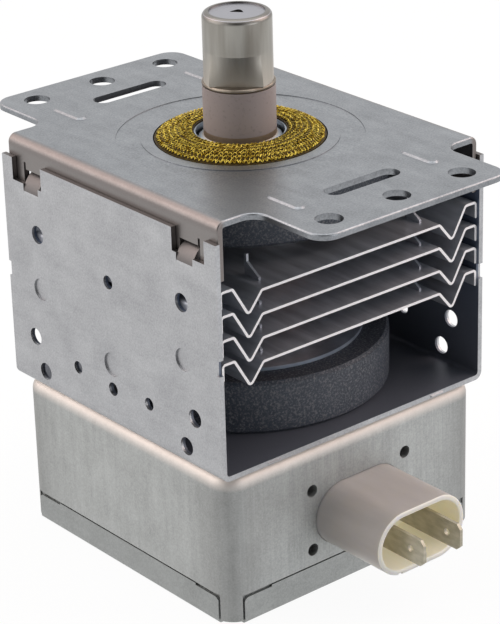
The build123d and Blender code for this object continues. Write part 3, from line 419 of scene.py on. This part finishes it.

# %% [markdown]
# The cap is drawn stainless steel. Its side is a warm grey with painted reflections: darker soft
# upright bands, and a paler tone towards the crimped mouth, where it is also rougher. The rounded
# edge of its top gets a painted shade, darker than the cooler grey of its pressed-in floor. Height
# alone tells these places apart: the side, the edge, and the floor, which is the one flat face at
# its own depth.

# %% Antenna cap
REFLECTION_BAND_MM = (4.0, 4.0, 40.0)
CAP_FOOT_MM = 8.0
CAP_EDGE_MM = 0.7
CAP_FLOOR_MM, FLOOR_REACH_MM = 0.35, 0.05
cap_low, cap_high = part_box("antenna_cap")
cap_steel, tree, shader, place = new_material("drawn stainless steel", Metallic=1.0)
height = add_node(tree, "ShaderNodeSeparateXYZ", {0: place}, "Z")
squeezed = add_node(tree, "ShaderNodeMapping", {
    "Vector": place, "Scale": [cycles(size) for size in REFLECTION_BAND_MM],
})
# Painted reflections: soft darker upright bands on the side.
reflection_bands = add_node(tree, "ShaderNodeTexNoise", {"Vector": squeezed, "Scale": 1.0, "Detail": 3.0})
level = add_node(tree, "ShaderNodeMapRange", {"Value": reflection_bands, "From Min": 0.34, "From Max": 0.62})
side = add_node(tree, "ShaderNodeMix", {0: level, 6: linear("78746D"), 7: linear("9C9A94")}, 2,
                data_type="RGBA")
near_foot = add_node(tree, "ShaderNodeMapRange", {
    "Value": height, "From Min": cap_low.z + CAP_FOOT_MM * MM, "From Max": cap_low.z,
    "To Max": 0.8,
})
# Painted paler tone towards the crimped mouth.
side = add_node(tree, "ShaderNodeMix", {0: near_foot, 6: side, 7: linear("B9B3A9")}, 2,
                data_type="RGBA")
on_top = add_node(tree, "ShaderNodeMapRange", {
    "Value": height, "From Min": cap_high.z - 2 * CAP_EDGE_MM * MM,
    "From Max": cap_high.z - CAP_EDGE_MM * MM,
})
on_floor = add_node(tree, "ShaderNodeMath", {
    0: height, 1: cap_high.z - CAP_FLOOR_MM * MM, 2: FLOOR_REACH_MM * MM,
}, operation="COMPARE")
# The rounded edge gets a painted shade, darker than the cooler floor.
top = add_node(tree, "ShaderNodeMix", {0: on_floor, 6: linear("76736F"), 7: linear("9A9AA0")}, 2,
               data_type="RGBA")
colour = add_node(tree, "ShaderNodeMix", {0: on_top, 6: side, 7: top}, 2, data_type="RGBA")
tree.links.new(colour, shader.inputs["Base Color"])
rough = add_node(tree, "ShaderNodeMapRange", {"Value": near_foot, "To Min": 0.34, "To Max": 0.6})
tree.links.new(rough, shader.inputs["Roughness"])
print("cap top at z =", round(cap_high.z / MM, 2), "mm")

# %% [markdown]
# The neck under the ceramic is nickel plated iron. It was brazed to the tube, so heat has turned
# it brown above its shoulder, in a mottled way.

# %% Neck
HEAT_LOW_MM, HEAT_HIGH_MM = 0.3, 0.7
MOTTLE_MM = 2.0
neck_metal, tree, shader, place = new_material(
    "brazed nickel plated iron", Metallic=0.7, Roughness=0.45,
)
height = add_node(tree, "ShaderNodeSeparateXYZ", {0: place}, "Z")
heat = add_node(tree, "ShaderNodeMapRange", {
    "Value": height, "From Min": HEAT_LOW_MM * MM, "From Max": HEAT_HIGH_MM * MM,
})
mottle = add_node(tree, "ShaderNodeTexNoise", {
    "Vector": place, "Scale": cycles(MOTTLE_MM), "Detail": 3.0,
})
burnt = add_node(tree, "ShaderNodeMix", {0: mottle, 6: linear("8C7861"), 7: linear("A8927A")}, 2,
                 data_type="RGBA")
colour = add_node(tree, "ShaderNodeMix", {0: heat, 6: linear("A3ABB2"), 7: burnt}, 2,
                  data_type="RGBA")
tree.links.new(colour, shader.inputs["Base Color"])
print("neck burnt brown above", HEAT_HIGH_MM, "mm")

# %% [markdown]
# Alumina ceramic is fired at a high heat and stays matt, with a few fine dark flecks. The same
# recipe gives the cast resin and the ferrite rods inside the filter box.

# %% Ceramics and resin
FLECK_DEPTH_MM = 0.02


def flecked(name, base, fleck, fleck_mm, roughness, low, high):
    """A matt solid colour with small flecks where noise passes from low to high."""
    material, tree, shader, place = new_material(name, Roughness=roughness)
    spots = add_node(tree, "ShaderNodeTexNoise", {
        "Vector": place, "Scale": cycles(fleck_mm), "Detail": 2.0,
    })
    share = add_node(tree, "ShaderNodeMapRange", {
        "Value": spots, "From Min": low, "From Max": high,
    })
    colour = add_node(tree, "ShaderNodeMix", {0: share, 6: linear(base), 7: linear(fleck)}, 2,
                      data_type="RGBA")
    tree.links.new(colour, shader.inputs["Base Color"])
    bumps = add_node(tree, "ShaderNodeBump", {
        "Height": spots, "Distance": FLECK_DEPTH_MM * MM, "Strength": 0.3,
    })
    tree.links.new(bumps, shader.inputs["Normal"])
    return material


alumina = flecked("fired alumina", "988D8A", "877D7A", 0.8, 0.5, 0.58, 0.8)
stem_alumina = flecked("white alumina", "DAD3CF", "BDB5B0", 1.4, 0.5, 0.5, 0.8)
resin = flecked("cast epoxy", "5A4634", "3C2E22", 0.8, 0.55, 0.4, 0.7)
rod_ferrite = flecked("rod ferrite", "3A3A3E", "57575C", 0.5, 0.7, 0.5, 0.7)
print("ceramic and resin finishes made")

# %% [markdown]
# The shroud is moulded nylon, a plastic that light enters a little way. Its outside is greyish
# white, and its inside looks ivory, because light that crosses the thin wall comes out warmer. The
# first step finds the inside with the formula of an oval: the distance of a point to the straight
# line that joins the centres of the two round ends.

# %% Nylon shroud: its inside
COLLAR_LAP_MM, WALL_MM = 1.1, 1.2
INSIDE_START_MM, INSIDE_FULL_MM = 0.6, 0.1
SCATTER_MM = 2.5
nylon, tree, shader, place = new_material(
    "moulded nylon", Roughness=0.4, Subsurface_Weight=0.6, Subsurface_Scale=SCATTER_MM * MM,
    Subsurface_Radius=(1.0, 0.9, 0.6),
)
low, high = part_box("connector_shroud")
middle = (low + high) / 2
inner_radius = (high.z - low.z) / 2 - (COLLAR_LAP_MM + WALL_MM) * MM
half_straight = (high.x - low.x - high.z + low.z) / 2
x, y, z = add_node(tree, "ShaderNodeSeparateXYZ", {0: place}).node.outputs
offset = add_node(tree, "ShaderNodeMath", {0: x, 1: middle.x}, operation="SUBTRACT")
sideways = add_node(tree, "ShaderNodeMath", {0: offset}, operation="ABSOLUTE")
past_centre = add_node(tree, "ShaderNodeMath", {0: sideways, 1: half_straight},
                       operation="SUBTRACT")
beyond = add_node(tree, "ShaderNodeMath", {0: past_centre, 1: 0.0}, operation="MAXIMUM")
upwards = add_node(tree, "ShaderNodeMath", {0: z, 1: middle.z}, operation="SUBTRACT")
up_squared = add_node(tree, "ShaderNodeMath", {0: upwards, 1: upwards}, operation="MULTIPLY")
line_squared = add_node(tree, "ShaderNodeMath", {0: beyond, 1: beyond, 2: up_squared},
                        operation="MULTIPLY_ADD")
from_line = add_node(tree, "ShaderNodeMath", {0: line_squared}, operation="SQRT")
inside = add_node(tree, "ShaderNodeMapRange", {
    "Value": from_line, "From Min": inner_radius + INSIDE_START_MM * MM,
    "From Max": inner_radius + INSIDE_FULL_MM * MM,
})
print("ivory starts", round(inner_radius / MM, 2), "mm from the sleeve's middle line")

# %% [markdown]
# Then come its colours. Faint marks show how the nylon flowed along the mould. The underside, which
# a white table lights from below, is painted paler, and the rim gets a painted warm-white highlight.
# The light that comes through the wall is given as a painted faint glow of the inside.

# %% Nylon shroud: its colours
FLOW_MM = (2.0, 10.0, 2.0)
UNDERSIDE_MM = 2.0
RIM_START_MM, RIM_FULL_MM = 0.4, 0.2
WALL_GLOW = 0.08
squeezed = add_node(tree, "ShaderNodeMapping", {
    "Vector": place, "Scale": [cycles(size) for size in FLOW_MM],
})
flow = add_node(tree, "ShaderNodeTexNoise", {"Vector": squeezed, "Scale": 1.0, "Detail": 2.0})
outer = add_node(tree, "ShaderNodeMix", {0: flow, 6: linear("B4AFAC"), 7: linear("C2BDBA")}, 2,
                 data_type="RGBA")
inner = add_node(tree, "ShaderNodeMix", {0: flow, 6: linear("F6EFD6"), 7: linear("FAF7EA")}, 2,
                 data_type="RGBA")
underside = add_node(tree, "ShaderNodeMapRange", {
    "Value": z, "From Min": middle.z - UNDERSIDE_MM * MM,
    "From Max": low.z + COLLAR_LAP_MM * MM, "To Max": 0.8,
})
# Painted warm-white highlight on the front rim.
rim_highlight = add_node(tree, "ShaderNodeMapRange", {
    "Value": y, "From Min": low.y + RIM_START_MM * MM, "From Max": low.y + RIM_FULL_MM * MM,
})
colour = outer
for share, shade in ((underside, linear("EDEAE4")), (inside, inner), (rim_highlight, linear("FFFBEE"))):
    colour = add_node(tree, "ShaderNodeMix", {0: share, 6: colour, 7: shade}, 2, data_type="RGBA")
tree.links.new(colour, shader.inputs["Base Color"])
through_wall = add_node(tree, "ShaderNodeMath", {0: inside, 1: WALL_GLOW}, operation="MULTIPLY")
tree.links.new(through_wall, shader.inputs["Emission Strength"])
shader.inputs["Emission Color"].default_value = linear("FFF2D8")
print("rim and glow added to", nylon.name)

# %% [markdown]
# Under the knitted wire lies the gasket's packed core. Little light gets in between the wires, so
# it is painted as brass in shade: a dark, mottled, brownish yellow.

# %% Shaded brass
SHADE_MM = 0.7
shaded_brass, tree, shader, place = new_material("brass in shade", Metallic=0.8, Roughness=0.6)
mottle = add_node(tree, "ShaderNodeTexNoise", {
    "Vector": place, "Scale": cycles(SHADE_MM), "Detail": 2.0,
})
level = add_node(tree, "ShaderNodeMapRange", {"Value": mottle, "From Min": 0.35, "From Max": 0.65})
colour = add_node(tree, "ShaderNodeMix", {0: level, 6: linear("221803"), 7: linear("463606")}, 2,
                  data_type="RGBA")
tree.links.new(colour, shader.inputs["Base Color"])
print("shaded brass mottled every", SHADE_MM, "mm")

# %% [markdown]
# Each ready made part gets its finish by name. The parts stay where they are, and only their
# material slots change.

# %% Finishes of the ready made parts
finishes = {
    "mounting_plate": plate_zinc, "yoke_frame": yoke_zinc, "filter_box": box_zinc,
    "box_lid": lid_zinc, "upper_magnet": ferrite, "lower_magnet": ferrite,
    "seat_disc": seat_metal, "capacitor_mount": seat_metal, "antenna_cap": cap_steel,
    "exhaust_tube": rim_metal, "antenna_lead": copper, "anode_cylinder": copper,
    "anode_vanes": copper, "gasket_holder": holder_metal, "knitted_gasket": shaded_brass,
    "output_ceramic": alumina, "input_ceramic": stem_alumina, "connector_shroud": nylon,
    "left_blade": tinned_metal, "right_blade": tinned_metal, "capacitor_body": resin,
    "left_choke": choke_wire, "right_choke": choke_wire, "left_choke_core": rod_ferrite,
    "right_choke_core": rod_ferrite, "upper_pole_piece": pole_metal,
    "lower_pole_piece": pole_metal, "output_seal_cone": neck_metal,
    "input_seal_cone": input_metal, "centre_strip": input_metal, "side_strip": input_metal,
    "filament_coil": filament_metal, "upper_end_hat": filament_metal,
    "lower_end_hat": filament_metal, "centre_lead": filament_metal, "side_lead": filament_metal,
}
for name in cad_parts:
    if name.startswith("cooling_fin"):
        finishes[name] = fin_metal
    elif name.endswith("strap"):
        finishes[name] = copper
for name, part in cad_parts.items():
    part.data.materials.clear()
    part.data.materials.append(finishes[name])
print("finished", len(finishes), "parts")

# %% [markdown]
# The gasket's wire is bright brass, a metal of a warm yellow. It is drawn smooth, and it tarnishes
# to a darker olive in patches about a millimetre wide.

# %% Brass wire
TARNISH_MM = 0.9
brass_wire, tree, shader, place = new_material("brass wire", Metallic=1.0, Roughness=0.32)
tarnish = add_node(tree, "ShaderNodeTexNoise", {
    "Vector": place, "Scale": cycles(TARNISH_MM), "Detail": 2.0,
})
level = add_node(tree, "ShaderNodeMapRange", {"Value": tarnish, "From Min": 0.38, "From Max": 0.62})
colour = add_node(tree, "ShaderNodeMix", {0: level, 6: linear("785E08"), 7: linear("D8C258")}, 2,
                  data_type="RGBA")
tree.links.new(colour, shader.inputs["Base Color"])
print("brass wire tarnished every", TARNISH_MM, "mm")

# %% [markdown]
# The gasket is knitted from fine brass wire like a sock, rolled up and pressed to a ring. What
# shows is a set of chains that run round the ring: each stitch stands up as a short bright arch,
# and between the chains the wires dive into the dark core. A chain stitch has a simple formula: in
# the time that the wire goes across once, it swings in and out once and rises and dips once.
# Pressing leaves no two stitches alike, so each is pushed about a little by a seeded random
# number. The ring's own top leans outwards and bulges, and carries the wire. It starts where the
# holder's foot does, so its inner radius follows from the foot's outer one. Curves are the natural
# tool for wire, and four sides are enough for one that is thinner than a pixel.

# %% One knitted wire
WIRE_MM = 0.17
STITCH_MM = 1.0
POINTS = 8
PUSH_MM = 0.13
LIP_MM, CROWN_MM = 1.5, 1.1
HOLDER_FOOT_MM = 3.6
knit_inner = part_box("gasket_holder")[1].x / MM - HOLDER_FOOT_MM
knit_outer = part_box("knitted_gasket")[1].x / MM
draw = Random(7)


def crown_height(radius):
    """Height of the pressed ring's top at a radius: it leans outwards and bulges between."""
    share = (radius - knit_inner) / (knit_outer - knit_inner)
    return LIP_MM * (1 - share) + CROWN_MM * (1 - (2 * share - 1) ** 2)


def lay_wire(knit, middle_radius, swing, rise, sink, lag):
    """One closed wire round the ring that swings by swing and lies rise above or below sink."""
    stitches = round(2 * pi * middle_radius / STITCH_MM)
    pushes = [[draw.uniform(-PUSH_MM, PUSH_MM) for axis in range(3)] for stitch in range(stitches)]
    spline = knit.splines.new("POLY")
    spline.points.add(stitches * POINTS - 1)
    spline.use_cyclic_u = True
    for i in range(stitches * POINTS):
        stitch, step = divmod(i, POINTS)
        swell = sin(pi * step / POINTS)
        outwards, onwards, upwards = [push * swell for push in pushes[stitch]]
        phase = 2 * pi * (i / POINTS + lag)
        turn = phase / stitches + onwards / middle_radius
        radius = middle_radius + swing * cos(phase) + outwards
        radius = min(max(radius, knit_inner + WIRE_MM), knit_outer - WIRE_MM)
        height = crown_height(radius) + rise * sin(phase) + upwards - sink
        spline.points[i].co = [radius * cos(turn) * MM, radius * sin(turn) * MM, height * MM, 1.0]


print("knitting from radius", round(knit_inner, 2), "to", round(knit_outer, 2), "mm")

# %% [markdown]
# Two such wires, half a stitch apart, make one chain. Slack loops, which lie lower and swing
# wider, join each chain to the next one. How far the wires swing is a share of the room that one
# chain has, and how far one lags behind is a share of a stitch.

# %% Knit the gasket
CHAINS = 7
CHAIN_SWING, CHAIN_RISE_MM = 0.24, 0.14
LOOP_SWING, LOOP_RISE_MM, LOOP_SINK_MM = 0.4, 0.1, 0.16
CHAIN_LAGS, LOOP_LAG = (0.0, 0.5), 0.25
chain_step = (knit_outer - knit_inner - 2 * WIRE_MM) / CHAINS
knit = bpy.data.curves.new("knitted_wire", "CURVE")
knit.dimensions = "3D"
knit.bevel_depth = WIRE_MM / 2 * MM
knit.bevel_resolution = 0
knit.resolution_u = 1
for chain in range(CHAINS):
    chain_radius = knit_inner + WIRE_MM + (chain + 0.5) * chain_step
    for lag in CHAIN_LAGS:
        lay_wire(knit, chain_radius, CHAIN_SWING * chain_step, CHAIN_RISE_MM, 0.0, lag)
    if chain > 0:
        lay_wire(knit, chain_radius - chain_step / 2, LOOP_SWING * chain_step, LOOP_RISE_MM,
                 LOOP_SINK_MM, LOOP_LAG)
knitted = bpy.data.objects.new("knitted_wire", knit)
bpy.context.collection.objects.link(knitted)
knit.materials.append(brass_wire)
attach(knitted, "root")
print("knitted", CHAINS, "chains,", sum(len(s.points) for s in knit.splines), "points")

# %% [markdown]
# The studio is plain: a white floor in a white room. Both are white for the eye and for mirror
# images, while a lower level lights the matt surfaces. The Light Path node makes that possible,
# because it tells what kind of ray is asking for the light.

# %% White for the eye
def white_for_the_eye(tree, lit_strength):
    """Strength 1 for rays from the camera, mirrors and glass, and lit_strength for the rest."""
    path = add_node(tree, "ShaderNodeLightPath", {}).node.outputs
    seen = path["Is Camera Ray"]
    for kind in ("Is Glossy Ray", "Is Transmission Ray"):
        seen = add_node(tree, "ShaderNodeMath", {0: seen, 1: path[kind]}, operation="MAXIMUM")
    return add_node(tree, "ShaderNodeMapRange", {"Value": seen, "To Min": lit_strength})


ROOM_LIGHT = 0.4
room = bpy.data.worlds.new("studio")
bpy.context.scene.world = room
room.use_nodes = True
backdrop = room.node_tree.nodes["Background"]
room_light = white_for_the_eye(room.node_tree, ROOM_LIGHT)
room.node_tree.links.new(room_light, backdrop.inputs["Strength"])
backdrop.inputs["Color"].default_value = linear("FFFFFF")
print("room lights matt surfaces at", ROOM_LIGHT)

# %% [markdown]
# The floor is a large sheet of white paper. It glows as the room does, and a little of the paper
# itself shows through, which carries the object's shadow.

# %% Floor
FLOOR_HALF = 3.0
FLOOR_LIGHT = 0.35
GLOW_SHARE = 0.94


def staged_square(name, half_width, where):
    """A square sheet, moved by the matrix where, that isn't part of the object."""
    mesh = bpy.data.meshes.new(name)
    sheet = bmesh.new()
    bmesh.ops.create_grid(sheet, x_segments=1, y_segments=1, size=half_width)
    bmesh.ops.transform(sheet, verts=sheet.verts, matrix=where)
    sheet.to_mesh(mesh)
    sheet.free()
    made = bpy.data.objects.new(name, mesh)
    bpy.context.collection.objects.link(made)
    return made


floor = staged_square("floor", FLOOR_HALF, Matrix.Translation((0, 0, cad_low.z)))
floor_paper, tree, shader, place = new_material("white paper", Roughness=0.9)
shader.inputs["Base Color"].default_value = linear("F4F4F4")
glow = add_node(tree, "ShaderNodeEmission", {"Strength": white_for_the_eye(tree, FLOOR_LIGHT)})
blend = add_node(tree, "ShaderNodeMixShader", {0: GLOW_SHARE, 1: shader.outputs["BSDF"], 2: glow})
tree.links.new(blend, tree.nodes["Material Output"].inputs["Surface"])
floor.data.materials.append(floor_paper)
print("floor at z =", round(cad_low.z / MM, 1), "mm")

# %% [markdown]
# One very large soft lamp hangs overhead, and warmer ones stand at the sides and behind, which
# tint the bends pinkish. A small cool lamp stands low in front. Large lamps are dimmer to look at
# than small ones of the same strength, so their mirror images in the metal stay below white. Each
# lamp is placed by two angles: its way round, with 0 in front, and its height.

# %% Lamps
def direction(azimuth, elevation):
    """The way from the object at two angles in degrees; azimuth 0 is in front, 90 right."""
    a, e = radians(azimuth), radians(elevation)
    return Vector((sin(a) * cos(e), -cos(a) * cos(e), sin(e)))


def soft_lamp(name, azimuth, elevation, distance, size, power, colour):
    """A square soft lamp that points at the object's middle; distance and size in metres."""
    lamp = bpy.data.lights.new(name, "AREA")
    lamp.shape = "SQUARE"
    lamp.size = size
    lamp.energy = power
    lamp.color = linear(colour)[:3]
    lamp_way = direction(azimuth, elevation)
    made = bpy.data.objects.new(name, lamp)
    bpy.context.collection.objects.link(made)
    made.location = (cad_low + cad_high) / 2 + lamp_way * distance
    made.rotation_mode = "QUATERNION"
    made.rotation_quaternion = lamp_way.to_track_quat("Z", "Y")


soft_lamp("overhead", 140, 80, 1.1, 1.4, 7.0, "FFFFFF")
soft_lamp("left_side", -120, 25, 1.0, 0.9, 3.9, "FFF8F4")
soft_lamp("right_side", 62, 36, 1.0, 0.8, 5.0, "FFE6DC")
soft_lamp("rear_warm", 208, 38, 1.0, 0.8, 2.4, "FFE4DA")
soft_lamp("front_low", 12, 3, 0.9, 0.35, 1.2, "F4F8FF")
print(len(bpy.data.lights), "soft lamps")

# %% [markdown]
# The camera stands where the photo was taken from: to the left of the front, above the object, with
# a long lens. Its turn and distance were solved from the object's own edges. Blender fits the sensor
# to the picture's long side, so the lens follows from the focal length in pixels over that side.

# %% Camera
PICTURE_LONG_SIDE = 624
FOCAL_PIXELS = 2594.739
SENSOR_MM = 36.0
AZIMUTH, ELEVATION, ROLL = -39.391, 24.023, 1.656
DISTANCE_MM = 600.384
TARGET_MM = (2.286, 1.204, -44.562)
lens = bpy.data.cameras.new("camera")
lens.sensor_width = SENSOR_MM
lens.lens = FOCAL_PIXELS / PICTURE_LONG_SIDE * SENSOR_MM
lens.clip_start, lens.clip_end = 0.01, 20.0
target = Vector(TARGET_MM) * MM
camera_way = direction(AZIMUTH, ELEVATION)
camera_turn = camera_way.to_track_quat("Z", "Y").to_matrix()
camera = bpy.data.objects.new("camera", lens)
bpy.context.collection.objects.link(camera)
camera.location = target + camera_way * DISTANCE_MM * MM
camera.rotation_mode = "QUATERNION"
camera.rotation_quaternion = (
    camera_turn @ Matrix.Rotation(-radians(ROLL), 3, "Z")
).to_quaternion()
bpy.context.scene.camera = camera
bpy.context.scene.view_settings.view_transform = "Standard"
print("lens", round(lens.lens, 1), "mm")

# %% [markdown]
# Behind the camera the room is dark, which is why the round cap has a darker band up its middle and
# the box a darker corner. A grey card there does the same, and is left out of the pictures.

# %% Dark card behind the camera
CARD_HALF, CARD_DISTANCE = 0.42, 0.95
behind_camera = Matrix.Translation(target + camera_way * CARD_DISTANCE) @ camera_turn.to_4x4()
card = staged_square("dark_card", CARD_HALF, behind_camera)
card.visible_camera = False
card_cloth, tree, shader, place = new_material("dark grey cloth", Roughness=0.95)
shader.inputs["Base Color"].default_value = linear("2A2A2C")
card.data.materials.append(card_cloth)
print("card", 2 * CARD_HALF, "m wide")
